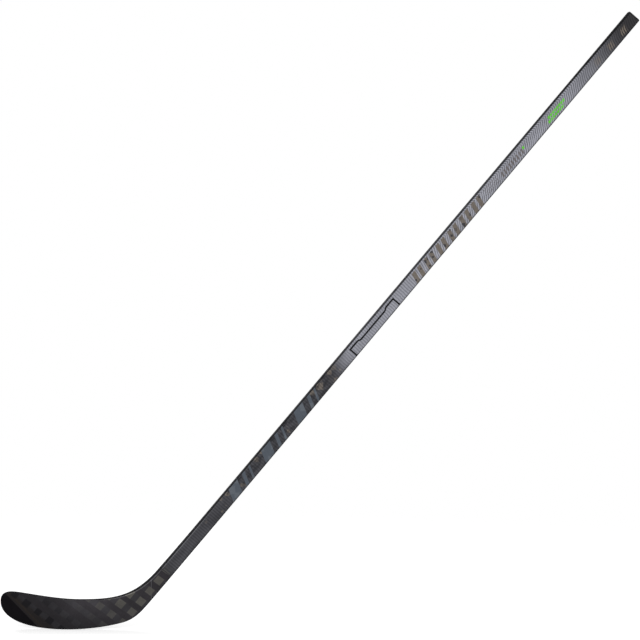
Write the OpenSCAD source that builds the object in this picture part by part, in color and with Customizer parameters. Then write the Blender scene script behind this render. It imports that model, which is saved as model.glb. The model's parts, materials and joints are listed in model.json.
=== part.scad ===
// Ice hockey stick: a hollow laminate shaft with a butt plug, and a foam-cored blade
// whose hosel is bonded to the shaft by a tenon. Lengths are in millimetres.
//
// Frame: the shaft's axis meets the ice at the origin. +Z is up and the ice is Z = 0.
// The toe points to -X, the shaft rises towards +X, and the hollow face looks to +Y.
//
// A place in the plane of the shaft is written as s and a: s is the distance along the
// shaft's axis from the ice, and a is the distance square to it, towards the upper edge.

/* [Shaft] */
// Angle of the shaft above the ice
shaft_rise = 49.6; // [45:0.1:55]
// Distance from the ice to the butt end, along the axis
stick_l = 1559; // [1250:1:1900]
// Width of the wide faces
shaft_w = 27; // [22.5:0.5:33]
// Depth of the shaft between its wide faces
shaft_d = 19; // [15.5:0.5:23]
// Radius of the shaft's long corners
corner_r = 4.5; // [3.5:0.1:5.5]
// How far each wall is dished in at its middle
dish_t = 0.3; // [0:0.05:0.5]

/* [Laminate] */
// Thickness of the woven plies that show
outer_t = 0.4; // [0.3:0.05:0.6]
// Thickness of the lengthwise plies under them
axial_t = 0.9; // [0.6:0.05:1.2]
// Thickness of the slanted plies that line the hollow
inner_t = 0.4; // [0.3:0.05:0.6]
// Thickness of the blade's skins under their woven ply
skin_t = 1.0; // [0.7:0.05:1.2]

/* [Joint] */
// Distance from the ice to the joint of shaft and hosel
joint_s = 143; // [135:1:172]
// Depth of the stick at the joint
joint_d = 15.6; // [13:0.1:18.8]
// Length of the taper from the joint up to the full shaft
taper_l = 146; // [110:1:200]
// Extra width at the joint, on the upper edge
flare_w = 1.6; // [0:0.1:2.5]
// Width of the ply that covers the joint
band_w = 15; // [10:1:25]
// Length of the tenon inside the shaft
tenon_l = 65; // [40:1:90]
// Wall of the tenon
tenon_t = 1.2; // [0.8:0.1:1.5]
// Thickness of the glue round the tenon and the plug
glue_t = 0.3; // [0.2:0.05:0.4]

/* [Butt plug] */
// Thickness of the plug's rim, past the end of the tube
rim_t = 3; // [2:0.5:6]
// Length of the plug's tongue
tongue_l = 45; // [25:1:70]

/* [Blade] */
// Distance from the origin to the lowest point of the rocker
contact_back = 102.9; // [95:0.1:115]
// Distance from the rocker's lowest point to the nose of the toe
toe_reach = 121.4; // [101:0.1:146]
// Height of the nose, the foremost point of the toe
nose_h = 52.3; // [45:0.1:60]
// Height of the top of the toe
toe_h = 72.1; // [66:0.1:87]
// Height of the blade at its waist
blade_h = 59; // [50:0.1:70]
// Distance from the rocker's lowest point to the heel's underside, along the ice
heel_back = 111.6; // [100:0.1:118]
// Height of the heel's underside there
heel_h = 12.6; // [9:0.1:16]
// Thickness of the blade where it leaves the hosel
blade_t = 7.5; // [6.5:0.1:9]
// Thickness at the toe
toe_t = 5.2; // [4.4:0.1:6.4]
// Depth of the blade's curve, from the line between its ends
curve_t = 12; // [0:0.5:20]
// Lean of the face at the toe
loft = 6; // [0:0.5:12]
// Width of the strips along the blade's edges
edge_w = 5; // [5:0.1:6.5]
// Width of the rib between the cores, square to the shaft
rib_w = 12; // [8:0.5:18]
// Distance between the toe and the end of the woven ply, along the shaft's direction
toe_ply_l = 32; // [20:1:50]

/* [Hidden] */

// Gap between the blade's edge strips and what lies between them, and that between the
// skins and the cores
bond_t = 0.15;
film_t = 0.05;
// Distance from the ice to the seam of hosel and blade
hosel_s = 100;
// Distance from the ice to the top of the foam cores
core_top_s = 58;
// Distance from the ice to where the heel's underside has turned into the shaft
heel_end_s = 88;
// Distance from the ice to where the hosel has thinned down to the blade
thin_s = 30;
// Place along the ice, from the rocker's lowest point, where the blade's curve begins
bend_back = 95;
// Points on the round of each long corner, and along each wide face
corner_n = 4;
face_n = 4;

axis_dir = [cos(shaft_rise), sin(shaft_rise)];
edge_dir = [-sin(shaft_rise), cos(shaft_rise)];
half_w = shaft_w / 2;
wall_t = outer_t + axial_t + inner_t;
hollow_t = wall_t + glue_t;
taper_s = joint_s + taper_l;
band_s = joint_s + band_w;
tenon_s = joint_s + tenon_l;
tube_s = stick_l - rim_t;
tongue_s = tube_s - tongue_l;
cover_t = outer_t + skin_t;

contact = [-contact_back, 0];
nose = contact + [-toe_reach, nose_h];
toe_top = [nose.x + 22.5, toe_h];
waist = contact + [31, blade_h];
heel = contact + [heel_back, heel_h];
bend_x = contact.x + bend_back;
joint_top = on_shaft(joint_s, half_w + flare_w);

// ---- Curves -----------------------------------------------------------------------

function mix(from, to, k) = from + (to - from) * k;
function clamp(k) = min(1, max(0, k));
function ease(k) = let (c = clamp(k)) c * c * (3 - 2 * c);
function reversed(list) = [for (i = [len(list) - 1:-1:0]) list[i]];

// A point of the plane of the shaft, from s and a to X and Z, and back.
function on_shaft(s, a) = s * axis_dir + a * edge_dir;
function to_shaft(p) = [p * axis_dir, p * edge_dir];

// The point at k on the cubic curve with these four control points, and n steps of it
// without its last point.
function bezier(c, k) = let (m = 1 - k)
    m * m * m * c[0] + 3 * m * m * k * c[1] + 3 * m * k * k * c[2] + k * k * k * c[3];
function curve(c, n) = [for (i = [0:n - 1]) bezier(c, i / n)];

// ---- Outline of the blade and hosel, from the nose to the joint -------------------

upper_line = seamed(concat(
    curve([nose, nose + [0, 13.5], toe_top - [14.5, 0], toe_top], 8),
    curve([toe_top, toe_top + [21, 0], waist - [51, 0], waist], 12),
    curve([waist, waist + [63, 0], joint_top - 75 * axis_dir, joint_top], 14),
    [joint_top]));
lower_line = concat(
    curve([nose, [nose.x, 0.41 * nose_h], contact - [82, 0], contact], 12),
    curve([contact, contact + [40, 0], heel - [32, 8.1], heel], 8),
    curve([heel, heel + [25, 6.3], on_shaft(56, -half_w), on_shaft(heel_end_s, -half_w)], 8),
    [for (s = [heel_end_s, (heel_end_s + hosel_s) / 2, hosel_s, (hosel_s + joint_s) / 2, joint_s])
        on_shaft(s, -half_w)]);
nose_i = len(lower_line) - 1;
outline = concat(reversed(lower_line), [for (i = [1:len(upper_line) - 1]) upper_line[i]]);

// The same line with its own point at the seam of hosel and blade.
function seamed(line) = let (places = [for (p = line) to_shaft(p)]) concat(
    [for (i = [0:len(line) - 1]) if (places[i][0] < hosel_s - 1) line[i]],
    [on_shaft(hosel_s, lookup(hosel_s, places))],
    [for (i = [0:len(line) - 1]) if (places[i][0] > hosel_s + 1) line[i]]);

// The unit normal at point i of the outline, pointing into the blade.
function inward(i) = let (
    t = outline[min(i + 1, len(outline) - 1)] - outline[max(i - 1, 0)])
    [t.y, -t.x] / norm(t);

// The outline moved inwards, as s and a, and its two sides from their foremost point.
function inset(depth) = [for (i = [0:len(outline) - 1])
    to_shaft(outline[i] + depth * inward(i))];
function foremost(line) = let (least = min([for (p = line) p[0]]))
    [for (i = [0:len(line) - 1]) if (line[i][0] == least) i][0];
function lower_side(line) = [for (i = [foremost(line):-1:0]) line[i]];
function upper_side(line) = [for (i = [foremost(line):len(line) - 1]) line[i]];

rim_line = inset(0);
rim_upper = upper_side(rim_line);
panel_line = inset(edge_w + bond_t);
panel_lower = lower_side(panel_line);
panel_upper = upper_side(panel_line);
panel_s = panel_lower[0][0] + 0.4;
toe_ply_s = panel_s + toe_ply_l;

// The upper edge at s, which flares near the joint and follows the outline below it.
function upper_a(s) = s < joint_s ? lookup(s, rim_upper)
    : half_w + flare_w * pow(clamp((taper_s - s) / taper_l), 2);

// ---- Depth and curve of the stick -------------------------------------------------

// Depth from face to face at s: toe, blade, hosel, taper and shaft.
function depth_at(s) =
    s >= joint_s ? mix(joint_d, shaft_d, ease((s - joint_s) / taper_l))
    : s >= thin_s ? mix(blade_t, joint_d, ease((s - thin_s) / (joint_s - thin_s)))
    : mix(toe_t, blade_t, clamp((s - panel_s) / (thin_s - panel_s)));

// How far the mid-surface stands towards +Y at a point of the blade.
function bend_at(p) = let (q = clamp((bend_x - p.x) / (bend_x - nose.x)))
    q * q * (4 * curve_t - tan(loft) * (p.y - blade_h / 2));

// ---- Solids -----------------------------------------------------------------------

// Joins rings of equal, even length, each anticlockwise as seen from the next ring's
// side. Each end is filled from its first and last points inwards, like a ladder.
module loft(rings) {
    n = len(rings[0]);
    t = n * (len(rings) - 1);
    sides = [for (i = [0:len(rings) - 2], j = [0:n - 1]) let (k = (j + 1) % n)
        each [[i * n + j, (i + 1) * n + j, (i + 1) * n + k],
              [i * n + j, (i + 1) * n + k, i * n + k]]];
    ends = [for (j = [0:n / 2 - 2]) let (far = n - 1 - j)
        each [[j, far - 1, far], [j, j + 1, far - 1],
              [t + j, t + far, t + far - 1], [t + j, t + far - 1, t + j + 1]]];
    polyhedron([for (ring = rings) each ring], concat(sides, ends));
}

// The same between outer rings and inner rings of equal length.
module tube(outer, inner) {
    n = len(outer[0]);
    last = len(outer) - 1;
    far = n * len(outer);
    walls = [for (i = [0:last - 1], j = [0:n - 1]) let (k = (j + 1) % n)
        each [[i * n + j, (i + 1) * n + j, (i + 1) * n + k],
              [i * n + j, (i + 1) * n + k, i * n + k],
              [far + i * n + j, far + (i + 1) * n + k, far + (i + 1) * n + j],
              [far + i * n + j, far + i * n + k, far + (i + 1) * n + k]]];
    ends = [for (j = [0:n - 1]) let (k = (j + 1) % n, t = last * n)
        each [[j, k, far + k], [j, far + k, far + j],
              [t + j, far + t + k, t + k], [t + j, far + t + j, far + t + k]]];
    polyhedron(concat([for (ring = outer) each ring], [for (ring = inner) each ring]),
               concat(walls, ends));
}

// The arc of one long corner, from the angle start to a quarter turn on.
function corner(y, a, r, start) = [for (i = [0:corner_n])
    [y + r * cos(start + 90 * i / corner_n), a + r * sin(start + 90 * i / corner_n)]];

// One ring of Y and a round the stick at s: low and high are its edges, half its half
// depth, r its corner radius and sink the dish of its walls.
function section(low, high, half, r, sink) = concat(
    [for (i = [1:face_n - 1]) let (k = i / face_n)
        [half - 4 * sink * k * (1 - k), mix(low + r, high - r, k)]],
    corner(half - r, high - r, r, 0),
    [[0, high - sink]],
    corner(r - half, high - r, r, 90),
    [for (i = [1:face_n - 1]) let (k = i / face_n)
        [4 * sink * k * (1 - k) - half, mix(high - r, low + r, k)]],
    corner(r - half, low + r, r, 180),
    [[0, low + sink]],
    corner(half - r, low + r, r, 270));

// That ring on the stick, under a cover of the given thickness.
function stick_ring(s, cover) = let (
    half = depth_at(s) / 2 - cover,
    r = max(0.8, min(corner_r - cover, half - 0.2)),
    sink = dish_t * ease((s - joint_s) / taper_l))
    [for (q = section(cover - half_w, upper_a(s) - cover, half, r, sink))
        let (p = on_shaft(s, q[1])) [p.x, q[0], p.y]];
function tenon_ring(s, cover) = let (
    half = depth_at(s) / 2 - hollow_t - cover,
    wide = half_w - hollow_t - cover)
    [for (q = section(-wide, wide, half, max(0.8, corner_r - hollow_t - cover), 0))
        let (p = on_shaft(s, q[1])) [p.x, q[0], p.y]];

// A ply round the stick, from one cover to the next.
module ply(places, cover, under) {
    tube([for (s = places) stick_ring(s, cover)], [for (s = places) stick_ring(s, under)]);
}

// The places of n + 1 rings from one s to another, closer together by the toe.
function steps(from, to, n, crowd = 1) = [for (i = [0:n])
    mix(from, to, pow(i / n, crowd))];
hosel_steps = steps(hosel_s, joint_s, 6);
taper_steps = [for (s = steps(joint_s, taper_s, 10)) if (s > band_s + 2) s];
lower_taper = [for (s = taper_steps) if (s < tenon_s - 2) s];
upper_taper = [for (s = taper_steps) if (s > tenon_s + 2) s];
tenon_steps = concat(hosel_steps, [band_s], lower_taper, [tenon_s]);
outer_steps = concat([band_s], lower_taper, [tenon_s], upper_taper, [tube_s]);
tube_steps = concat([joint_s], outer_steps);

// A layer between two faces of the blade, from one s to another. Each face is its side,
// -1 backhand or +1 forehand, and how deep it lies. Its edges are shares of the width
// between the edge strips, moved by a distance.
module layer(places, back, front, low = [0, 0], high = [1, 0]) {
    loft([for (s = places) let (
        width = [lookup(s, panel_lower), lookup(s, panel_upper)],
        edges = [mix(width[0], width[1], low[0]) + low[1],
                 mix(width[0], width[1], high[0]) + high[1]],
        rise = [for (k = [0:0.25:1]) on_shaft(s, mix(edges[0], edges[1], k))],
        half = depth_at(s) / 2)
        concat(
            [for (p = rise) [p.x, bend_at(p) + front[0] * (half - front[1]), p.y]],
            [for (p = reversed(rise)) [p.x, bend_at(p) + back[0] * (half - back[1]), p.y]])]);
}

// A strip round the blade's edge, between two points of the outline, and ending at the
// seam of hosel and blade. Its outer side is round.
module edge_strip(first, last) {
    loft([for (i = [first:last]) let (
        p = outline[i],
        s = to_shaft(p)[0])
        if (s < hosel_s + 0.5) strip_ring(p, inward(i))]);
}
function strip_ring(p, n) = let (
    half = depth_at(to_shaft(p)[0]) / 2,
    r = min(corner_r, half - 0.2))
    [for (q = concat([[edge_w, -half], [edge_w, half]],
                     [for (c = corner(half - r, -r, r, 0)) [-c[1], c[0]]],
                     [for (c = corner(r - half, -r, r, 90)) [-c[1], c[0]]]))
        let (e = p + q[0] * n) [e.x, bend_at(e) + q[1], e.y]];

// Puts a solid that rises along Z on the shaft's axis at s.
module along_shaft(s) {
    translate([s * axis_dir.x, 0, s * axis_dir.y]) rotate([0, 90 - shaft_rise, 0]) children();
}

// The end of the shaft as a flat shape, with true round corners.
module end_shape(cover) {
    w = shaft_w - 2 * cover;
    d = shaft_d - 2 * cover;
    r = corner_r - cover;
    square([w - 2 * r, d], center = true);
    square([w, d - 2 * r], center = true);
    for (x = [-1, 1], y = [-1, 1])
        translate([x * (w / 2 - r), y * (d / 2 - r)]) circle(r = r, $fn = 48);
}

// ---- Shaft ------------------------------------------------------------------------

module shaft_outer_ply() {
    color([0.52, 0.53, 0.56]) ply(outer_steps, 0, outer_t);
}

module shaft_axial_ply() {
    color([0.12, 0.12, 0.13]) ply(tube_steps, outer_t, outer_t + axial_t);
}

module shaft_inner_ply() {
    color([0.16, 0.16, 0.17]) ply(tube_steps, outer_t + axial_t, wall_t);
}

module butt_plug() {
    color([0.08, 0.08, 0.08]) union() {
        along_shaft(tube_s) linear_extrude(rim_t) end_shape(0);
        along_shaft(tongue_s) linear_extrude(tongue_l + rim_t / 2) end_shape(hollow_t + dish_t);
    }
}

module plug_glue() {
    places = [tongue_s, tube_s];
    color([0.75, 0.7, 0.55])
        difference() {
            loft([for (s = places) stick_ring(s, wall_t)]);
            along_shaft(tongue_s - 1) linear_extrude(tongue_l + 2) end_shape(hollow_t + dish_t);
        }
}

// ---- Joint ------------------------------------------------------------------------

module joint_band() {
    color([0.2, 0.2, 0.21]) ply([joint_s, band_s], 0, outer_t);
}

module tenon_shell() {
    color([0.12, 0.12, 0.13])
        tube([for (s = tenon_steps) tenon_ring(s, 0)],
             [for (s = tenon_steps) tenon_ring(s, tenon_t)]);
}

module tenon_core() {
    color([0.8, 0.74, 0.6])
        loft([for (s = tenon_steps) tenon_ring(s, tenon_t)]);
}

module tenon_glue() {
    color([0.75, 0.7, 0.55])
        tube([for (s = tenon_steps) stick_ring(s, wall_t)],
             [for (s = tenon_steps) tenon_ring(s, 0)]);
}

// ---- Hosel and blade --------------------------------------------------------------

module hosel_wrap() {
    color([0.2, 0.2, 0.21]) ply(hosel_steps, 0, outer_t);
}

module hosel_sleeve() {
    color([0.12, 0.12, 0.13]) ply(hosel_steps, outer_t, wall_t);
}

core_back = [-1, cover_t + film_t];
core_front = [1, cover_t + film_t];
core_steps = steps(panel_s + 3, core_top_s, 30, 1.4);

module heel_insert() {
    color([0.35, 0.33, 0.3])
        layer(steps(core_top_s, hosel_s, 6), core_back, core_front);
}

module upper_core() {
    color([0.85, 0.8, 0.66])
        layer(core_steps, core_back, core_front, [0.5, rib_w / 2], [1, 0]);
}

module spine_rib() {
    color([0.14, 0.14, 0.15])
        layer(core_steps, core_back, core_front, [0.5, -rib_w / 2], [0.5, rib_w / 2]);
}

module lower_core() {
    color([0.85, 0.8, 0.66])
        layer(core_steps, core_back, core_front, [0, 0], [0.5, -rib_w / 2]);
}

toe_steps = steps(panel_s, toe_ply_s, 8, 1.8);
weave_steps = steps(toe_ply_s, hosel_s, 26);
skin_steps = concat(toe_steps, [for (s = weave_steps) if (s > toe_ply_s) s]);

module backhand_skin() {
    color([0.13, 0.13, 0.14])
        layer(skin_steps, [-1, outer_t], [-1, cover_t]);
}

module forehand_skin() {
    color([0.13, 0.13, 0.14])
        layer(skin_steps, [1, cover_t], [1, outer_t]);
}

module backhand_weave() {
    color([0.2, 0.2, 0.21])
        layer(weave_steps, [-1, 0], [-1, outer_t]);
}

module forehand_weave() {
    color([0.2, 0.2, 0.21])
        layer(weave_steps, [1, outer_t], [1, 0]);
}

module backhand_toe_ply() {
    color([0.07, 0.06, 0.07])
        layer(toe_steps, [-1, 0], [-1, outer_t]);
}

module forehand_toe_ply() {
    color([0.07, 0.06, 0.07])
        layer(toe_steps, [1, outer_t], [1, 0]);
}

// The toe strip runs from half way along the toe's underside to the top of the toe.
toe_first = nose_i - 7;
toe_last = nose_i + 8;

module top_edge_strip() {
    color([0.16, 0.16, 0.17]) edge_strip(toe_last, len(outline) - 1);
}

module toe_edge_strip() {
    color([0.07, 0.06, 0.07]) edge_strip(toe_first, toe_last);
}

module bottom_edge_strip() {
    color([0.16, 0.16, 0.17]) edge_strip(0, toe_first);
}

shaft_outer_ply();
shaft_axial_ply();
shaft_inner_ply();
butt_plug();
plug_glue();
joint_band();
tenon_shell();
tenon_core();
tenon_glue();
hosel_wrap();
hosel_sleeve();
heel_insert();
upper_core();
spine_rib();
lower_core();
backhand_skin();
forehand_skin();
backhand_weave();
forehand_weave();
backhand_toe_ply();
forehand_toe_ply();
top_edge_strip();
toe_edge_strip();
bottom_edge_strip();
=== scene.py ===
"""Ice hockey stick: printed hollow shaft, woven blade and hosel, black toe and butt cap.

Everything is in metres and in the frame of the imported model. The origin is where the shaft's
axis meets the ice, +Z is up, the toe points to -X and the hollow face looks to +Y. A place on
the stick is also given as "along" (distance up the shaft's axis) and "across" (distance square
to it, towards the upper edge). Inside the shader groups those two are in millimetres.
"""

import json
import logging
import math
from dataclasses import asdict, dataclass, field
from enum import Enum
from typing import Sequence, Union

import bmesh
import bpy
import numpy as np
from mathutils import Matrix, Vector


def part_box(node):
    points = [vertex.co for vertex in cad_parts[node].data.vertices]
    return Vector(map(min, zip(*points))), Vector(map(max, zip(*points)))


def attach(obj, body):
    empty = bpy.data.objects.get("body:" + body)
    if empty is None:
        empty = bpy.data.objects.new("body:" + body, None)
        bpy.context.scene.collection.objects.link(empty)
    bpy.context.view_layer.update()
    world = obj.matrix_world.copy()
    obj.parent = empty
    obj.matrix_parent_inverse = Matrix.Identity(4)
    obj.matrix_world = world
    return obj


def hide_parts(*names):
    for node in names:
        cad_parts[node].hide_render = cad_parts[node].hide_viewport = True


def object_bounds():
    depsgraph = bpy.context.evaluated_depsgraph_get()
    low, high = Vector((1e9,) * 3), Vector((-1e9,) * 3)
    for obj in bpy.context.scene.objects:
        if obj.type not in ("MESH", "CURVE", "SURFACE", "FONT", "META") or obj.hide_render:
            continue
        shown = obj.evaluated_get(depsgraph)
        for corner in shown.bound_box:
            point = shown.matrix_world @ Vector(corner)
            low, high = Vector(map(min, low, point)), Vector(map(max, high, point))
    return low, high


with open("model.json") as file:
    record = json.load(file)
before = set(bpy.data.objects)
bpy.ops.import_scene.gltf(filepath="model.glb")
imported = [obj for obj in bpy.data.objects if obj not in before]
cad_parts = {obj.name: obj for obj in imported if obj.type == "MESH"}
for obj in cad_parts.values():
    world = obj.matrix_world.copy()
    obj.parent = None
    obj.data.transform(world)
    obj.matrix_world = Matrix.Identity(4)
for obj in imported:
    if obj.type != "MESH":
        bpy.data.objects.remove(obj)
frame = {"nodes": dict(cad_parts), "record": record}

CAD_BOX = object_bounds()
MM = 0.001
BODY = "root"
log = logging.getLogger("hockey_stick")

Socket = bpy.types.NodeSocket
Feed = Union[Socket, float, Sequence[float]]
Colour = tuple[float, float, float, float]


def tint(red: int, green: int, blue: int) -> Colour:
    """Turns a display colour into the linear one that a shader takes.

    Args:
        red: Red from 0 to 255.
        green: Green from 0 to 255.
        blue: Blue from 0 to 255.

    Returns:
        The linear colour with full alpha.
    """
    def linear(level: int) -> float:
        """The linear value of one display level."""
        share = level / 255
        return share / 12.92 if share <= 0.04045 else ((share + 0.055) / 1.055) ** 2.4
    return (linear(red), linear(green), linear(blue), 1.0)


def mm(x: float, z: float) -> np.ndarray:
    """A step in the stick's plane, given in millimetres."""
    return np.array([x, z]) * MM


def ease(share: np.ndarray | float) -> np.ndarray | float:
    """The smooth step of a share, held between 0 and 1."""
    held = np.clip(share, 0.0, 1.0)
    return held * held * (3 - 2 * held)


class Face(Enum):
    """Which wide side of the stick a piece lies on, as the sign of Y."""

    BACKHAND = -1
    FOREHAND = 1


# ---- The form of the stick ----------------------------------------------------------


@dataclass
class StickForm:
    """The stick's form: outline, thickness and curve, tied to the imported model's pieces."""

    CURVE_POINTS = 400
    EDGE_POINTS = 1400
    RING_COUNT = 420

    rise: float = math.radians(49.6)
    shaft_depth: float = 19 * MM
    joint_depth: float = 15.6 * MM
    blade_depth: float = 7.5 * MM
    toe_depth: float = 5.2 * MM
    taper: float = 146 * MM
    flare: float = 1.6 * MM
    dish: float = 0.3 * MM
    thin_end: float = 30 * MM
    nose_height: float = 52.3 * MM
    waist_height: float = 59 * MM
    heel_height: float = 12.6 * MM
    heel_reach: float = 111.6 * MM
    waist_reach: float = 31 * MM
    bend_reach: float = 95 * MM
    toe_top_reach: float = 22.5 * MM
    heel_turn: float = 56 * MM
    heel_end: float = 88 * MM
    joint_pull: float = 75 * MM
    nose_pull: float = 0.41
    middle: tuple[float, float] = (-60 * MM, 35 * MM)
    square_reach: float = 35 * MM
    corner_grows: tuple[float, float] = (20 * MM, 90 * MM)
    least_wall: float = 0.25 * MM
    curve: float = 12 * MM
    loft: float = math.radians(6)
    edging: float = 6.4 * MM
    toe_line: float = -107.1 * MM
    toe_slant: float = 0.093
    corner: float = 4.5 * MM
    hosel_corner: float = 5.2 * MM
    crown: float = 0.25 * MM
    length: float = field(init=False)
    half_width: float = 13.5 * MM
    joint: float = field(init=False)
    band_end: float = field(init=False)
    tube_end: float = field(init=False)
    hosel_start: float = field(init=False)
    outline: np.ndarray = field(init=False)
    inner_line: np.ndarray = field(init=False)
    inwards: np.ndarray = field(init=False)

    def __post_init__(self) -> None:
        """Reads the pieces' places from the frame and lays out the outline."""
        self.axis = np.array([math.cos(self.rise), math.sin(self.rise)])
        self.edge = np.array([-math.sin(self.rise), math.cos(self.rise)])
        mounts = {mount["name"]: mount["pos_m"] for mount in frame["record"]["mounts"]}
        butt = np.array(mounts["butt_face"])
        self.length = float(np.hypot(butt[0], butt[2]))
        self.joint, self.band_end = self._reach("joint_band")
        self.tube_end = self._reach("shaft_outer_ply")[1]
        self.hosel_start = self._reach("hosel_wrap")[0]
        self.contact = np.array([mounts["ice_contact"][0], 0.0])
        toe_low, toe_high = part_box("toe_edge_strip")
        self.nose = np.array([toe_low.x, self.nose_height])
        self.toe_top = np.array([toe_low.x + self.toe_top_reach, toe_high.z])
        self.bend_start = self.contact[0] + self.bend_reach
        self._lay_outline()

    def _reach(self, node: str) -> tuple[float, float]:
        """How far along the shaft a straight piece runs.

        Args:
            node: A CAD node whose lower edge is square to its ends.

        Returns:
            The places along the axis where it starts and ends.
        """
        low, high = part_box(node)
        start = (low.z + self.half_width * self.axis[0]) / self.axis[1]
        end = (high.x - self.half_width * self.axis[1]) / self.axis[0]
        return float(start), float(end)

    def on_plane(self, along: np.ndarray | float, across: np.ndarray | float) -> np.ndarray:
        """X and Z of places given as along and across."""
        return np.multiply.outer(along, self.axis) + np.multiply.outer(across, self.edge)

    def along_across(self, points: np.ndarray) -> np.ndarray:
        """Along and across of points given as X and Z."""
        return np.stack([points @ self.axis, points @ self.edge], -1)

    def _edge_line(self) -> np.ndarray:
        """The blade's edge as close points, from the joint's underside round the toe to its top."""
        contact, nose, top = self.contact, self.nose, self.toe_top
        waist = contact + [self.waist_reach, self.waist_height]
        heel = contact + [self.heel_reach, self.heel_height]
        joint_top = self.on_plane(self.joint, self.half_width + self.flare)
        heel_turn = self.on_plane(self.heel_turn, -self.half_width)
        heel_end = self.on_plane(self.heel_end, -self.half_width)
        upper = [
            (nose, nose + mm(0, 13.5), top - mm(14.5, 0), top),
            (top, top + mm(21, 0), waist - mm(51, 0), waist),
            (waist, waist + mm(63, 0), joint_top - self.joint_pull * self.axis, joint_top)]
        lower = [
            (nose, np.array([nose[0], self.nose_pull * self.nose_height]), contact - mm(82, 0), contact),
            (contact, contact + mm(40, 0), heel - mm(32, 8.1), heel),
            (heel, heel + mm(25, 6.3), heel_turn, heel_end)]
        share = np.linspace(0, 1, self.CURVE_POINTS)[:, None]

        def run(curves: list[tuple[np.ndarray, ...]]) -> np.ndarray:
            """The cubic curves one after another."""
            parts = [(1 - share) ** 3 * a + 3 * (1 - share) ** 2 * share * b
                     + 3 * (1 - share) * share ** 2 * c + share ** 3 * d for a, b, c, d in curves]
            return np.concatenate([part[:-1] for part in parts] + [parts[-1][-1:]])

        below = np.concatenate([run(lower), [self.on_plane(self.joint, -self.half_width)]])
        return self._evenly(np.concatenate([below[::-1], run(upper)[1:]]), self.EDGE_POINTS)

    @staticmethod
    def _evenly(line: np.ndarray, count: int) -> np.ndarray:
        """A number of points that lie evenly along a line."""
        gone = np.concatenate([[0], np.cumsum(np.linalg.norm(np.diff(line, axis=0), axis=1))])
        even = np.linspace(0, gone[-1], count)
        return np.stack([np.interp(even, gone, line[:, 0]), np.interp(even, gone, line[:, 1])], -1)

    def _lay_outline(self) -> None:
        """Lays the blade's outline up to the hosel's seam, and the inner side of its edging."""
        line, seam = self._edge_line(), self.hosel_start
        self._upper_places = self.along_across(line[int(np.argmin(line[:, 0])):])
        low_end, high_end = self.on_plane(seam, -self.half_width), self.on_plane(seam, self.upper(seam))
        kept = line[self.along_across(line)[:, 0] < seam - 0.05 * MM]
        self.outline = self._evenly(np.concatenate([[low_end], kept, [high_end]]), self.RING_COUNT)
        way = np.gradient(self.outline, axis=0)
        normal = np.stack([way[:, 1], -way[:, 0]], -1)
        normal /= np.linalg.norm(normal, axis=1)[:, None]
        normal *= np.sign(np.median(np.sum(normal * (np.array(self.middle) - self.outline), axis=1)))
        along, across = self.along_across(self.outline).T
        square = ease((along - (seam - self.square_reach)) / self.square_reach)[:, None]
        target = np.where(across[:, None] < 0, self.edge, -self.edge)
        normal = normal * (1 - square) + target * square
        self.inwards = normal / np.linalg.norm(normal, axis=1)[:, None]
        self.inner_line = self.along_across(self.outline + self.edging * self.inwards)

    def slanted(self, places: np.ndarray, slant: float) -> np.ndarray:
        """How far along places lie when they are counted square to a slanted line."""
        return places[..., 0] - slant * places[..., 1]

    def upper(self, along: np.ndarray | float) -> np.ndarray | float:
        """How far across the upper edge lies."""
        fade = np.clip((self.joint + self.taper - along) / self.taper, 0, 1)
        straight = self.half_width + self.flare * fade ** 2
        rim = np.interp(along, self._upper_places[:, 0], self._upper_places[:, 1])
        return np.where(np.asarray(along) < self.joint, rim, straight)

    def depth(self, along: np.ndarray | float) -> np.ndarray:
        """Thickness from face to face at places along the stick."""
        along = np.asarray(along, float)
        shaft = self.joint_depth + (self.shaft_depth - self.joint_depth) * ease(
            (along - self.joint) / self.taper)
        hosel = self.blade_depth + (self.joint_depth - self.blade_depth) * ease(
            (along - self.thin_end) / (self.joint - self.thin_end))
        start = self.along_across(self.nose)[0]
        blade = self.toe_depth + (self.blade_depth - self.toe_depth) * np.clip(
            (along - start) / (self.thin_end - start), 0, 1)
        return np.where(along >= self.joint, shaft, np.where(along >= self.thin_end, hosel, blade))

    def bend(self, points: np.ndarray) -> np.ndarray:
        """How far the middle of the blade stands towards +Y at points given as X and Z."""
        share = np.clip((self.bend_start - points[..., 0]) / (self.bend_start - self.nose[0]), 0, 1)
        lean = math.tan(self.loft) * (points[..., 1] - self.waist_height / 2)
        return share ** 2 * (4 * self.curve - lean)

    def corner_at(self, along: np.ndarray | float) -> np.ndarray:
        """Radius of the long corners: fuller on the hosel than on the blade and the shaft."""
        along = np.asarray(along, float)
        start, end = self.corner_grows
        up = ease((along - start) / (end - start))
        down = ease((along - self.joint) / self.taper)
        radius = self.corner + (self.hosel_corner - self.corner) * up * (1 - down)
        return np.minimum(radius, self.depth(along) / 2 - self.least_wall)

    def place(self, along: np.ndarray, across: np.ndarray, y: np.ndarray) -> np.ndarray:
        """Points of space from along, across and Y."""
        flat = self.on_plane(along, across) if np.ndim(along) == 0 else (
            along[..., None] * self.axis + across[..., None] * self.edge)
        return np.stack([flat[..., 0], y, flat[..., 1]], -1)


# ---- Mesh work ----------------------------------------------------------------------


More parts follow.
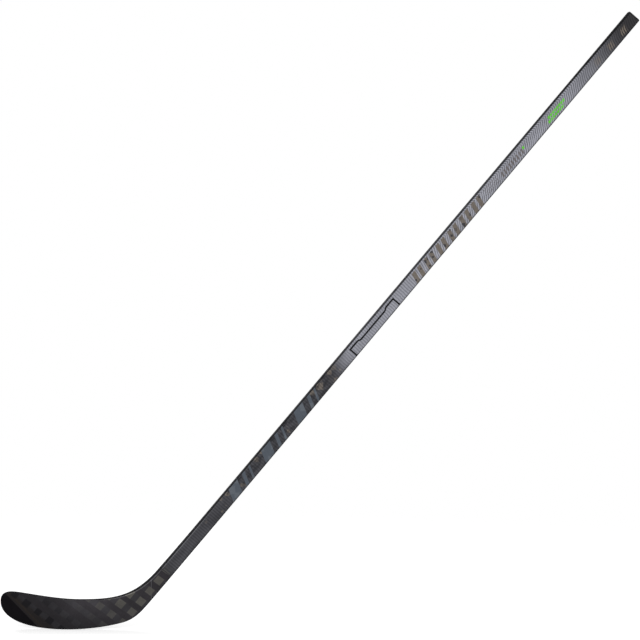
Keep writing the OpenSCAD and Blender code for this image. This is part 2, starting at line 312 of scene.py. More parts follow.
class MeshWork:
    """Turns rings of points into closed meshes with smooth sides and crisp ends."""

    CRISP = math.radians(38)

    @staticmethod
    def tube_faces(count: int, size: int, first: int, flip: bool = False) -> list[tuple[int, ...]]:
        """The four-sided faces between rings that lie one after another.

        Args:
            count: How many rings there are.
            size: How many points each ring has.
            first: Index of the first ring's first point.
            flip: Whether the faces look the other way.

        Returns:
            The faces as point indices.
        """
        faces = []
        for ring in range(count - 1):
            for point in range(size):
                here = first + ring * size + point
                side = first + ring * size + (point + 1) % size
                quad = (here, side, side + size, here + size)
                faces.append(quad[::-1] if flip else quad)
        return faces

    @staticmethod
    def ladder(size: int, first: int) -> list[tuple[int, ...]]:
        """Fills one ring of even size with rungs from its two ends inwards."""
        faces = []
        for step in range(size // 2 - 1):
            far = size - 1 - step
            faces.append((first + step, first + step + 1, first + far - 1, first + far))
        return faces

    @classmethod
    def solid(cls, name: str, rings: np.ndarray) -> bpy.types.Object:
        """A closed piece lofted through rings of equal, even size."""
        count, size = rings.shape[:2]
        faces = cls.tube_faces(count, size, 0)
        faces += cls.ladder(size, 0) + cls.ladder(size, (count - 1) * size)
        return cls.make(name, rings.reshape(-1, 3), faces)

    @classmethod
    def sleeve(cls, name: str, outer: np.ndarray, inner: np.ndarray) -> bpy.types.Object:
        """A closed hollow piece between outer and inner rings of equal size."""
        count, size = outer.shape[:2]
        far = count * size
        faces = cls.tube_faces(count, size, 0) + cls.tube_faces(count, size, far, True)
        for start in (0, (count - 1) * size):
            for point in range(size):
                side = (point + 1) % size
                faces.append((start + point, start + side, far + start + side, far + start + point))
        return cls.make(name, np.concatenate([outer.reshape(-1, 3), inner.reshape(-1, 3)]), faces)

    @classmethod
    def make(cls, name: str, points: np.ndarray, faces: list[tuple[int, ...]]) -> bpy.types.Object:
        """Makes the object, points its faces outwards and smooths all but its crisp edges.

        Args:
            name: Name of the piece.
            points: Its points, in the row frame.
            faces: Its faces as point indices.

        Returns:
            The new object, linked to the scene.
        """
        mesh = bpy.data.meshes.new(name)
        mesh.from_pydata(points.tolist(), [], faces)
        work = bmesh.new()
        work.from_mesh(mesh)
        bmesh.ops.remove_doubles(work, verts=work.verts, dist=1e-7)
        bmesh.ops.recalc_face_normals(work, faces=work.faces)
        for face in work.faces:
            face.smooth = True
        for edge in work.edges:
            edge.smooth = len(edge.link_faces) == 2 and edge.calc_face_angle(0) < cls.CRISP
        work.to_mesh(mesh)
        work.free()
        piece = bpy.data.objects.new(name, mesh)
        bpy.context.scene.collection.objects.link(piece)
        return piece


# ---- Shader graph -------------------------------------------------------------------


class Graph:
    """Adds nodes to one tree and joins them, so that a finish reads like a sum."""

    def __init__(self, tree: bpy.types.NodeTree) -> None:
        """Keeps the tree that the nodes go into."""
        self.tree = tree

    @classmethod
    def opened(cls, block: bpy.types.Material | bpy.types.World) -> "Graph":
        """The empty graph of a new material or world."""
        block.use_nodes = True
        block.node_tree.nodes.clear()
        return cls(block.node_tree)

    def node(self, kind: str, **settings: object) -> bpy.types.Node:
        """Adds a node of a kind and gives it its settings."""
        made = self.tree.nodes.new(kind)
        for key, value in settings.items():
            setattr(made, key, value)
        return made

    def feed(self, socket: Socket, value: Feed) -> None:
        """Joins a socket to another one, or sets it to a plain value."""
        if isinstance(value, bpy.types.NodeSocket):
            self.tree.links.new(value, socket)
        else:
            socket.default_value = value

    def math(self, operation: str, *values: Feed) -> Socket:
        """The result of one Math node.

        Args:
            operation: Name of the operation.
            values: The one or two numbers that it takes.

        Returns:
            The result's socket.
        """
        made = self.node("ShaderNodeMath", operation=operation)
        for socket, value in zip(made.inputs, values):
            self.feed(socket, value)
        return made.outputs[0]

    def chain(self, operation: str, values: Sequence[Feed]) -> Socket:
        """The result of one operation over several numbers, one after another."""
        result = values[0]
        for value in values[1:]:
            result = self.math(operation, result, value)
        return result

    def add(self, *values: Feed) -> Socket:
        """The sum of several numbers."""
        return self.chain("ADD", values)

    def less(self, first: Feed, second: Feed) -> Socket:
        """The first number less the second."""
        return self.math("SUBTRACT", first, second)

    def times(self, *values: Feed) -> Socket:
        """The product of several numbers."""
        return self.chain("MULTIPLY", values)

    def over(self, first: Feed, second: Feed) -> Socket:
        """The first number divided by the second."""
        return self.math("DIVIDE", first, second)

    def largest(self, *values: Feed) -> Socket:
        """The largest of several numbers."""
        return self.chain("MAXIMUM", values)

    def size(self, value: Feed) -> Socket:
        """The number without its sign."""
        return self.math("ABSOLUTE", value)

    def step(self, value: Feed, low: Feed, high: Feed, start: Feed = 0.0, end: Feed = 1.0) -> Socket:
        """Eases from one number to another while the value goes from low to high."""
        made = self.node("ShaderNodeMapRange", interpolation_type="SMOOTHSTEP", clamp=True)
        for socket, given in zip(made.inputs, (value, low, high, start, end)):
            self.feed(socket, given)
        return made.outputs[0]

    def fall(self, value: Feed, low: Feed, high: Feed) -> Socket:
        """Eases from 1 down to 0 while the value goes from low to high."""
        return self.step(value, low, high, 1.0, 0.0)

    def blend(self, share: Feed, first: Feed, second: Feed) -> Socket:
        """The colour at a share of the way from the first to the second."""
        made = self.node("ShaderNodeMix", data_type="RGBA")
        self.feed(made.inputs[0], share)
        self.feed(made.inputs[6], first)
        self.feed(made.inputs[7], second)
        return made.outputs[2]

    def dim(self, colour: Feed, level: Feed) -> Socket:
        """The colour made darker or lighter by a factor."""
        made = self.node("ShaderNodeVectorMath", operation="SCALE")
        self.feed(made.inputs[0], colour if isinstance(colour, bpy.types.NodeSocket) else colour[:3])
        self.feed(made.inputs["Scale"], level)
        return made.outputs[0]

    def point(self, x: Feed, y: Feed, z: Feed = 0.0) -> Socket:
        """A vector from three numbers."""
        made = self.node("ShaderNodeCombineXYZ")
        for socket, value in zip(made.inputs, (x, y, z)):
            self.feed(socket, value)
        return made.outputs[0]

    def part(self, vector: Feed, axis: str) -> Socket:
        """One of a vector's three numbers: X, Y or Z."""
        made = self.node("ShaderNodeSeparateXYZ")
        self.feed(made.inputs[0], vector)
        return made.outputs[axis]

    def dot(self, first: Feed, second: Feed) -> Socket:
        """The dot product of two vectors."""
        made = self.node("ShaderNodeVectorMath", operation="DOT_PRODUCT")
        self.feed(made.inputs[0], first)
        self.feed(made.inputs[1], second)
        return made.outputs["Value"]

    def noise(self, place: Feed, scale: float, detail: float = 2.0, rough: float = 0.5) -> Socket:
        """Soft noise from 0 to 1 at a place."""
        made = self.node("ShaderNodeTexNoise", noise_dimensions="3D")
        self.feed(made.inputs["Vector"], place)
        made.inputs["Scale"].default_value = scale
        made.inputs["Detail"].default_value = detail
        made.inputs["Roughness"].default_value = rough
        return made.outputs["Fac"]

    def group(self, tree: bpy.types.NodeTree, **values: Feed) -> dict[str, Socket]:
        """Places a node group and feeds its inputs.

        Args:
            tree: The group.
            values: A value for each input, by its name with _ for a space.

        Returns:
            The group's outputs by name.
        """
        made = self.node("ShaderNodeGroup", node_tree=tree)
        for key, value in values.items():
            self.feed(made.inputs[key.replace("_", " ")], value)
        return {socket.name: socket for socket in made.outputs}


class GroupMaker:
    """Makes one node group: its sockets, and the graph between them."""

    def __init__(self, name: str, inputs: dict[str, Feed], outputs: Sequence[str]) -> None:
        """Opens the group.

        Args:
            name: The group's name.
            inputs: Default value of each input; a tuple makes a vector.
            outputs: Names of the outputs, all plain numbers.
        """
        self.tree = bpy.data.node_groups.new(name, "ShaderNodeTree")
        for key, value in inputs.items():
            kind = "NodeSocketVector" if isinstance(value, tuple) else "NodeSocketFloat"
            socket = self.tree.interface.new_socket(key, in_out="INPUT", socket_type=kind)
            if kind == "NodeSocketFloat":
                socket.default_value = value
        for key in outputs:
            self.tree.interface.new_socket(key, in_out="OUTPUT", socket_type="NodeSocketFloat")
        self.graph = Graph(self.tree)
        self.source = self.graph.node("NodeGroupInput")
        self.sink = self.graph.node("NodeGroupOutput")

    def __getitem__(self, key: str) -> Socket:
        """The socket that carries an input inside the group."""
        return self.source.outputs[key]

    def close(self, **results: Socket) -> bpy.types.NodeTree:
        """Joins the results to the outputs and gives back the group."""
        for key, value in results.items():
            self.graph.feed(self.sink.inputs[key.replace("_", " ")], value)
        return self.tree


class SharedGroups:
    """The effects that several finishes share, each built once as a node group."""

    def __init__(self, form: StickForm) -> None:
        """Builds every group.

        Args:
            form: The stick's form, for its directions.
        """
        self.form = form
        self.half = form.half_width / MM
        self.place = self._place()
        self.ripple = self._ripple()
        self.row = self._row()
        self.flecks = self._flecks()
        self.lattice = self._lattice()
        self.fibre = self._fibre()
        self.corner = self._corner()
        self.dust = self._dust()

    def _place(self) -> bpy.types.NodeTree:
        """Turns a place in space into along, across and side, in millimetres."""
        made = GroupMaker("Place on stick", {"Position": (0, 0, 0)}, ["Along", "Across", "Side"])
        graph = made.graph
        ways = {"Along": (self.form.axis[0], 0, self.form.axis[1]),
                "Across": (self.form.edge[0], 0, self.form.edge[1]), "Side": (0, 1, 0)}
        return made.close(**{key: graph.dot(made["Position"], [part / MM for part in way])
                             for key, way in ways.items()})

    def _ripple(self) -> bpy.types.NodeTree:
        """Fine lines across the stick that can lean, bow and turn back near the upper edge."""
        made = GroupMaker("Ply ripple", {
            "Along": 0.0, "Across": 0.0, "Pitch": 5.0, "Lean": 0.0, "Bow": 0.0, "Turn": 0.0,
            "Wander": 0.2, "Share": 0.4, "Soft": 0.3}, ["Line"])
        graph = made.graph
        high = graph.math("MAXIMUM", graph.less(made["Across"], 7.5), 0.0)
        reach = graph.over(made["Across"], self.half)
        shift = graph.add(graph.times(made["Lean"], reach), graph.times(made["Bow"], reach, reach))
        shift = graph.less(shift, graph.times(made["Turn"], high))
        cells = graph.over(graph.less(made["Along"], shift), made["Pitch"])
        place = graph.point(graph.over(made["Along"], 22.0), graph.over(made["Across"], 9.0))
        cells = graph.add(cells, graph.times(made["Wander"], graph.less(graph.noise(place, 1.0, 3.0), 0.5)))
        wave = graph.times(graph.size(graph.less(graph.math("FRACT", cells), 0.5)), 2.0)
        low = graph.less(made["Share"], made["Soft"])
        return made.close(Line=graph.fall(wave, low, graph.add(made["Share"], made["Soft"])))

    def _row(self) -> bpy.types.NodeTree:
        """A row of equal printed blocks, each of which may lean."""
        made = GroupMaker("Row of blocks", {
            "Along": 0.0, "Across": 0.0, "Start": 0.0, "Pitch": 10.0, "Count": 1.0, "Length": 5.0,
            "Low": -5.0, "High": 5.0, "Lean": 0.0, "Soft": 0.4}, ["Block"])
        graph = made.graph
        leant = graph.less(made["Along"], graph.times(made["Lean"], graph.over(made["Across"], self.half)))
        gone = graph.less(leant, made["Start"])
        cell = graph.math("FLOOR", graph.over(gone, made["Pitch"]))
        held = graph.math("MAXIMUM", graph.math("MINIMUM", cell, graph.less(made["Count"], 1.0)), 0.0)
        local = graph.less(gone, graph.times(held, made["Pitch"]))
        half = graph.over(made["Length"], 2.0)
        off = graph.less(graph.size(graph.less(local, half)), half)
        middle = graph.over(graph.add(made["Low"], made["High"]), 2.0)
        reach = graph.over(graph.less(made["High"], made["Low"]), 2.0)
        side = graph.less(graph.size(graph.less(made["Across"], middle)), reach)
        worst = graph.math("MAXIMUM", off, side)
        under = graph.times(made["Soft"], -1.0)
        return made.close(Block=graph.fall(worst, under, made["Soft"]))

    def _flecks(self) -> bpy.types.NodeTree:
        """Scattered diamond flecks of uneven strength."""
        made = GroupMaker("Diamond flecks", {
            "Along": 0.0, "Across": 0.0, "Size": 12.0, "Cover": 0.4, "Seed": 0.0}, ["Fleck"])
        graph = made.graph
        place = graph.point(graph.over(made["Along"], made["Size"]),
                            graph.over(made["Across"], made["Size"]), made["Seed"])
        cells = graph.node("ShaderNodeTexVoronoi", voronoi_dimensions="3D", distance="MANHATTAN",
                           feature="F1")
        graph.feed(cells.inputs["Vector"], place)
        cells.inputs["Scale"].default_value = 1.0
        pick = graph.node("ShaderNodeSeparateColor")
        graph.feed(pick.inputs[0], cells.outputs["Color"])
        near = graph.fall(cells.outputs["Distance"], graph.times(made["Cover"], 0.8),
                          graph.times(made["Cover"], 1.1))
        strong = graph.step(pick.outputs[0], 0.35, 0.65)
        return made.close(Fleck=graph.times(near, strong))

    def _lattice(self) -> bpy.types.NodeTree:
        """Square windows where the broad bands of the weave leave one open."""
        made = GroupMaker("Window lattice", {
            "Along": 0.0, "Across": 0.0, "Length": 13.6, "Width": 13.6, "Soft": 0.6,
            "Pitch along": 26.6, "Pitch across": 27.4, "First along": -63.2, "First across": 1.0,
            "Slant": 0.075, "Uneven": 0.2}, ["Window", "Row", "Cell"])
        graph = made.graph
        leant = graph.add(made["Along"], graph.times(made["Slant"], made["Across"]))

        def cells(place: Socket, first: Socket, pitch: Socket) -> tuple[Socket, Socket]:
            """How far a place is from the middle of its band, and the band's number."""
            number = graph.add(graph.over(graph.less(place, first), pitch), 0.5)
            off = graph.times(graph.size(graph.less(graph.math("FRACT", number), 0.5)), pitch)
            return off, graph.math("FLOOR", number)

        def band(off: Socket, width: Socket) -> Socket:
            """The mask of a band of a width."""
            half = graph.over(width, 2.0)
            return graph.fall(off, graph.less(half, made["Soft"]), graph.add(half, made["Soft"]))

        row_off, row_cell = cells(leant, made["First along"], made["Pitch along"])
        column_off, column_cell = cells(made["Across"], made["First across"], made["Pitch across"])
        scatter = graph.node("ShaderNodeTexWhiteNoise", noise_dimensions="3D")
        graph.feed(scatter.inputs["Vector"], graph.point(row_cell, column_cell, 3.0))
        spread = graph.add(1.0, graph.times(made["Uneven"], graph.less(scatter.outputs["Value"], 0.5)))
        row = band(row_off, graph.times(made["Length"], spread))
        column = band(column_off, graph.times(made["Width"], spread))
        return made.close(Window=graph.times(row, column), Row=row, Cell=scatter.outputs["Value"])

    def _fibre(self) -> bpy.types.NodeTree:
        """Fine fibre tows in a twill: an uneven tone and the height of the tows."""
        made = GroupMaker("Fibre twill", {"Along": 0.0, "Across": 0.0, "Tow": 2.0}, ["Tone", "Height"])
        graph = made.graph
        cross = graph.over(made["Along"], made["Tow"])
        with_ = graph.over(made["Across"], made["Tow"])
        steps = graph.add(graph.math("FLOOR", cross), graph.math("FLOOR", with_))
        over = graph.math("LESS_THAN", graph.math("FRACT", graph.over(steps, 4.0)), 0.49)
        one = graph.math("SINE", graph.times(graph.math("FRACT", cross), math.pi))
        two = graph.math("SINE", graph.times(graph.math("FRACT", with_), math.pi))
        first = graph.noise(graph.point(graph.times(cross, 6.0), graph.times(with_, 0.25)), 1.0, 1.0)
        second = graph.noise(graph.point(graph.times(cross, 0.25), graph.times(with_, 6.0), 9.0), 1.0, 1.0)
        keep = graph.less(1.0, over)
        tone = graph.add(graph.times(over, first), graph.times(keep, second))
        height = graph.add(graph.times(over, one), graph.times(keep, two))
        return made.close(Tone=tone, Height=height)

    def _corner(self) -> bpy.types.NodeTree:
        """Dark edges (black print on the narrow sides, painted shade on the rounded corners), dull narrow
        sides, and along the upper corners a glossier coat with a painted highlight.
        """
        made = GroupMaker("Corner turn", {"Normal": (0, 0, 0), "Along": 0.0}, ["Edge", "Narrow", "Bead"])
        graph = made.graph
        flat = graph.size(graph.part(made["Normal"], "Y"))
        rise = graph.dot(made["Normal"], [self.form.edge[0], 0, self.form.edge[1]])
        tilt = graph.less(flat, graph.times(graph.largest(rise, 0.0), 0.24))
        # Painted highlight: a band just inside the upper corners, which lightens the colour and adds coat.
        highlight = graph.times(graph.step(rise, 0.03, 0.1), graph.step(tilt, 0.9, 0.935),
                           graph.fall(made["Along"], 220, 330), graph.step(made["Along"], 10, 60))
        # The edge mask grows where the normal turns away from the wide face: black print on the narrow
        # sides, painted shade on the rounded corners.
        return made.close(Edge=graph.fall(tilt, 0.72, 0.9), Narrow=graph.fall(flat, 0.25, 0.6), Bead=highlight)

    def _dust(self) -> bpy.types.NodeTree:
        """Handling marks: soft smears, for colour and roughness."""
        made = GroupMaker("Handling marks", {"Position": (0, 0, 0)}, ["Smear"])
        return made.close(Smear=made.graph.noise(made["Position"], 26.0, 4.0, 0.6))


# ---- Finishes -----------------------------------------------------------------------


@dataclass(frozen=True)
class Blocks:
    """A row of equal blocks printed on the wide faces, in millimetres."""

    start: float
    pitch: float
    count: int
    length: float
    low: float
    high: float
    lean: float = 0.0
    soft: float = 0.5


class Finish:
    """A surface finish: opens the material and joins the parts that all of them share."""

    name = "finish"
    slot = "inner_laminate"
    smear_span = (0.25, 0.8)
    # How far the colour is lifted in the painted highlight along the upper corners.
    bead_lift = 1.7
    bead_coat = (0.02, 0.7)
    narrow_dulling = 0.4
    roughest = 0.92

    def __init__(self, groups: SharedGroups) -> None:
        """Opens the material, with the sockets of place, normal and wear.

        Args:
            groups: The shared groups.
        """
        self.groups = groups
        self.material = bpy.data.materials.new(self.name)
        self.graph = graph = Graph.opened(self.material)
        self.shader = graph.node("ShaderNodeBsdfPrincipled")
        sink = graph.node("ShaderNodeOutputMaterial")
        graph.feed(sink.inputs[0], self.shader.outputs[0])
        place = graph.node("ShaderNodeTexCoord")
        self.spots = {"Object": place.outputs["Object"]}
        self.spots.update(graph.group(groups.place, Position=self.spots["Object"]))
        self.along, self.across = self.spots["Along"], self.spots["Across"]
        self.spots.update(graph.group(groups.corner, Normal=place.outputs["Normal"], Along=self.along))
        self.spots.update(graph.group(groups.dust, Position=self.spots["Object"]))

    def effect(self, tree: bpy.types.NodeTree, **values: Feed) -> dict[str, Socket]:
        """Places a shared group that works on along and across."""
        return self.graph.group(tree, Along=self.along, Across=self.across, **values)

    def rows(self, rows: Sequence[Blocks]) -> Socket:
        """The joint mask of one or more rows of printed blocks."""
        values = [{key.capitalize(): value for key, value in asdict(row).items()} for row in rows]
        return self.graph.largest(*(self.effect(self.groups.row, **row)["Block"] for row in values))

    def cloud(self, length: float, width: float, detail: float, layer: float = 0.0,
              rough: float = 0.5) -> Socket:
        """Soft noise from 0 to 1, in patches drawn out along the stick.

        Args:
            length: Length of a patch, in millimetres.
            width: Its width.
            detail: How many finer layers it has.
            layer: Which of many such noises it is.
            rough: How strong the finer layers are.

        Returns:
            The noise.
        """
        graph = self.graph
        place = graph.point(graph.over(self.along, length), graph.over(self.across, width), layer)
        return graph.noise(place, 1.0, detail, rough)

    def gloss(self, colour: Feed, rough: float, printed: Feed = 0.0) -> None:
        """Gives the surface its colour, with a painted highlight along the upper corners, and a satin sheen,
        dull on the narrow sides.

        Args:
            colour: Its colour.
            rough: Roughness of a clean wide face.
            printed: Where a smoother print lies on it.
        """
        graph, inputs, highlight = self.graph, self.shader.inputs, self.spots["Bead"]
        # Painted highlight: the colour is lifted along the upper corners.
        graph.feed(inputs["Base Color"], graph.dim(colour, graph.step(highlight, 0, 1, 1.0, self.bead_lift)))
        worn = graph.step(self.spots["Smear"], *self.smear_span, rough - 0.05, rough + 0.07)
        worn = graph.less(worn, graph.times(printed, 0.06))
        dull = graph.add(worn, graph.times(self.spots["Narrow"], self.narrow_dulling))
        graph.feed(inputs["Roughness"], graph.math("MINIMUM", dull, self.roughest))
        graph.feed(inputs["Coat Weight"], graph.step(highlight, 0, 1, *self.bead_coat))
        inputs["Specular IOR Level"].default_value = 0.05
        inputs["Coat Roughness"].default_value = 0.3
        inputs["Coat IOR"].default_value = 1.5

    def bump(self, height: Feed, reach: float) -> None:
        """Gives the surface a fine relief.

        Args:
            height: Height from 0 to 1.
            reach: What a height of 1 stands for, in metres.
        """
        made = self.graph.node("ShaderNodeBump")
        made.inputs["Strength"].default_value = 1.0
        made.inputs["Distance"].default_value = reach
        self.graph.feed(made.inputs["Height"], height)
        self.graph.feed(self.shader.inputs["Normal"], made.outputs[0])

    def dress(self, piece: bpy.types.Object) -> None:
        """Gives a piece this finish."""
        piece.data.materials.clear()
        piece.data.materials.append(self.material)


@dataclass(frozen=True)
class PrintColours:
    """Colours of the shaft's print."""

    dark: Colour = tint(64, 64, 68)
    pale: Colour = tint(158, 159, 168)
    charcoal: Colour = tint(54, 53, 55)
    line: Colour = tint(44, 45, 50)
    bar: Colour = tint(78, 84, 92)
    bar_light: Colour = tint(104, 109, 115)
    sand: Colour = tint(122, 113, 103)
    stroke: Colour = tint(106, 98, 89)
    stroke_dark: Colour = tint(38, 38, 42)
    brown: Colour = tint(92, 84, 80)
    black: Colour = tint(22, 22, 24)
    green: Colour = tint(100, 192, 64)
    night: Colour = tint(32, 32, 36)


@dataclass(frozen=True)
class Panel:
    """The printed outline of a panel that is open at the lower edge, in millimetres."""

    middle: float = 766.5
    half: float = 64.5
    recess: float = 2.2
    top: float = 5.4
    turn: tuple[float, float] = (35.0, 44.0)
    line: tuple[float, float] = (1.3, 2.1)


class ShaftPrint(Finish):
    """The shaft's printed ply: dark ribbed ground, slanted bars, pale rippled ground, fade."""

    name = "Printed laminate"
    slot = "printed_laminate"
    colours = PrintColours()
    panel = Panel()
    pale_run = (640, 712)
    fade_run = (1320, 1540)
    butt_run = (1330, 1480)
    bars = (Blocks(337.5, 97.5, 3, 26, -13.6, 13.6, 7), Blocks(377, 97.5, 3, 8, -13.6, 13.6, 7),
            Blocks(396, 97.5, 3, 5, -13.6, 13.6, 7))
    sand_marks = tuple(Blocks(start, 35.5, 6, 9.5, -12.0, 8.6, 4.5) for start in (888, 904))
    pins = tuple(Blocks(1105, 4.2, 9, 2.5, low, low + 2.4) for low in (4.2, -1.1, -6.4))
    ticks = (Blocks(1153, 7.4, 9, 3.9, -7.4, 2.6, 3.5),)
    green_marks = (Blocks(1217.5, 10, 1, 4.6, -1.6, 3.4, 3), Blocks(1295, 60, 1, 49, -1.7, 3.2, 6),
                   Blocks(1292, 60, 1, 46, -8.2, -3.6, 6))
    green_slits = tuple(Blocks(start, 6.2, 7, 2.0, low, high, 6, 0.3)
                        for start, low, high in ((1300, -2.4, 3.2), (1298, -8.4, -3.4)))
    butt_marks = (Blocks(1437, 39, 3, 15, -7.5, 4.0, 4, 2.6),)

    def __init__(self, groups: SharedGroups) -> None:
        """Builds the material."""
        super().__init__(groups)
        graph, along, c = self.graph, self.along, self.colours
        pale, fade = graph.step(along, *self.pale_run), graph.step(along, *self.fade_run)
        soft = self.cloud(60, 14, 3.0)
        dark = graph.dim(c.dark, graph.step(soft, 0.3, 0.7, 0.78, 1.14))
        light = graph.times(graph.step(soft, 0.3, 0.7, 0.9, 1.08), graph.step(along, 740, 1100, 0.86, 1.0))
        ground = graph.blend(pale, dark, graph.dim(c.pale, light))
        ground = graph.blend(fade, ground, c.charcoal)
        rib = self.effect(groups.ripple, Pitch=5.2, Wander=0.25, Share=0.45, Soft=0.45)["Line"]
        lines = self._lines()
        flecked = self._sand(ground, lines)
        ribbed = graph.dim(flecked, graph.step(rib, 0, 1, 1.18, 0.8))
        strength = graph.less(graph.step(along, 800, 1150, 0.38, 0.7), graph.step(fade, 0, 0.6, 0.0, 0.22))
        lined = graph.blend(graph.times(lines, strength), flecked, graph.blend(fade, c.line, c.black))
        bars, strokes, ticks, green = map(
            self.rows, (self.bars, self.sand_marks, self.ticks, self.green_marks))
        colour = self._bars(graph.blend(pale, ribbed, lined), bars)
        colour = self._camouflage(colour, strokes)
        colour = graph.blend(graph.times(self.rows(self.pins), 0.5), colour, c.brown)
        colour = graph.blend(graph.times(ticks, 0.75), colour, c.brown)
        closed = graph.times(self.rows(self.green_slits), 0.75)
        colour = graph.blend(graph.times(green, graph.less(1.0, closed)), colour, c.green)
        panel = self._panel()
        colour = self._edges(graph.blend(panel, colour, c.black))
        colour = graph.dim(colour, graph.step(self.spots["Smear"], 0.3, 0.75, 1.03, 0.95))
        printed = graph.largest(bars, strokes, green, ticks, panel)
        self.gloss(colour, 0.48, printed)
        relief = graph.add(graph.times(rib, graph.less(1, pale)), graph.times(lines, pale))
        self.bump(graph.add(graph.times(relief, -0.4), printed), 0.05 * MM)

    def _lines(self) -> Socket:
        """The dark lines of the pale ground: straight at first, then leaning, bowed at the butt."""
        graph, along = self.graph, self.along
        lean = graph.step(along, 850, 1010, 0.4, 11.5)
        lean = graph.less(lean, graph.step(along, *self.butt_run, 0.0, 3.5))
        bow = graph.step(along, *self.butt_run, 0.0, 3.4)
        turn = graph.step(along, 940, 1020, 0.0, 1.9)
        turn = graph.less(turn, graph.step(along, 1300, 1420, 0.0, 1.0))
        return self.effect(self.groups.ripple, Pitch=5.25, Lean=lean, Bow=bow, Turn=turn, Wander=0.7,
                           Share=0.42, Soft=0.2)["Line"]

    def _sand(self, ground: Socket, lines: Socket) -> Socket:
        """Sand-coloured diamond flecks over the dark ground and in the fade at the butt."""
        graph, along, sand = self.graph, self.along, self.colours.sand
        fleck = self.effect(self.groups.flecks, Size=17.0, Cover=0.66, Seed=2.0)["Fleck"]
        low = graph.times(graph.step(along, 215, 330), graph.fall(along, 655, 700), 0.5)
        shaded = graph.blend(graph.times(fleck, low), ground, sand)
        share = graph.times(self.rows(self.butt_marks), graph.less(1.0, lines),
                            graph.step(along, 1430, 1480, 0.5, 0.85))
        return graph.blend(share, shaded, sand)

    def _bars(self, colour: Socket, mask: Socket) -> Socket:
        """Slanted blue-grey bars with a soft light patch and a dark shadow round them."""
        graph, c = self.graph, self.colours
        fleck = self.effect(self.groups.flecks, Size=16.0, Cover=0.7, Seed=5.5)["Fleck"]
        shade = graph.blend(graph.times(fleck, 0.45), c.bar, c.bar_light)
        inside = graph.times(graph.step(self.along, 325, 340), graph.fall(self.along, 622, 640))
        low = graph.times(graph.step(self.cloud(18, 7, 2.0, 4.0), 0.46, 0.6),
                          graph.step(self.across, 5.0, 9.5, 0.5, 0.9))
        return graph.blend(mask, graph.blend(graph.times(inside, low), colour, c.night), shade)

    def _camouflage(self, colour: Socket, mask: Socket) -> Socket:
        """Sand-coloured slanted strokes with dark flecks in them."""
        graph, c = self.graph, self.colours
        fleck = self.effect(self.groups.flecks, Size=8.0, Cover=0.7, Seed=8.5)["Fleck"]
        shade = graph.blend(graph.times(fleck, 0.9), c.stroke, c.stroke_dark)
        return graph.blend(graph.times(mask, 0.92), colour, shade)

    def _panel(self) -> Socket:
        """The outline of a plain panel with a shallow recess, open at the lower edge."""
        graph, panel = self.graph, self.panel
        off = graph.size(graph.less(self.along, panel.middle))
        top = graph.less(self.across, graph.step(off, *panel.turn, panel.recess, panel.top))
        side = graph.less(off, panel.half)
        return graph.fall(graph.size(graph.largest(side, top)), *panel.line)

    def _edges(self, colour: Socket) -> Socket:
        """Black print and painted shade on the narrow sides and turned corners, the lower corner darkened
        (partly print, partly painted shade), and the ragged black band that widens to the butt.
        """
        graph, along, across = self.graph, self.along, self.across
        rag = graph.less(self.cloud(9, 5, 3.0, 1.5, 0.6), 0.5)
        reach = graph.add(graph.step(along, 1120, 1540, 0.4, 3.2), graph.times(rag, 3.2))
        band = graph.step(graph.less(across, graph.less(self.groups.half, reach)), -0.4, 0.5)
        band = graph.times(band, graph.step(along, 1110, 1160))
        # Partly print, partly painted shade: the lower corner darkens over the pale ground.
        under = graph.times(graph.step(across, -13.4, -10.4, 0.8, 0.0), graph.step(along, 660, 760))
        # Black print on the narrow sides and painted shade on the corners that turn away from the face.
        sides = graph.times(self.spots["Edge"], 0.9)
        return graph.blend(graph.largest(band, sides, under), colour, self.colours.black)


@dataclass(frozen=True)
class WeaveColours:
    """Colours of the blade and the hosel."""

    cross: Colour = tint(42, 40, 43)
    band: Colour = tint(48, 47, 50)
    light: Colour = tint(78, 76, 72)
    deep: Colour = tint(17, 16, 19)
    toe: Colour = tint(9, 7, 10)
    brown: Colour = tint(30, 27, 27)
    brown_line: Colour = tint(37, 32, 28)
    # Colour of the painted shade where the surface turns over the edge.
    rim: Colour = tint(20, 20, 22)
    # Colour of the painted highlight along the ply's raised edge.
    seam: Colour = tint(112, 112, 116)


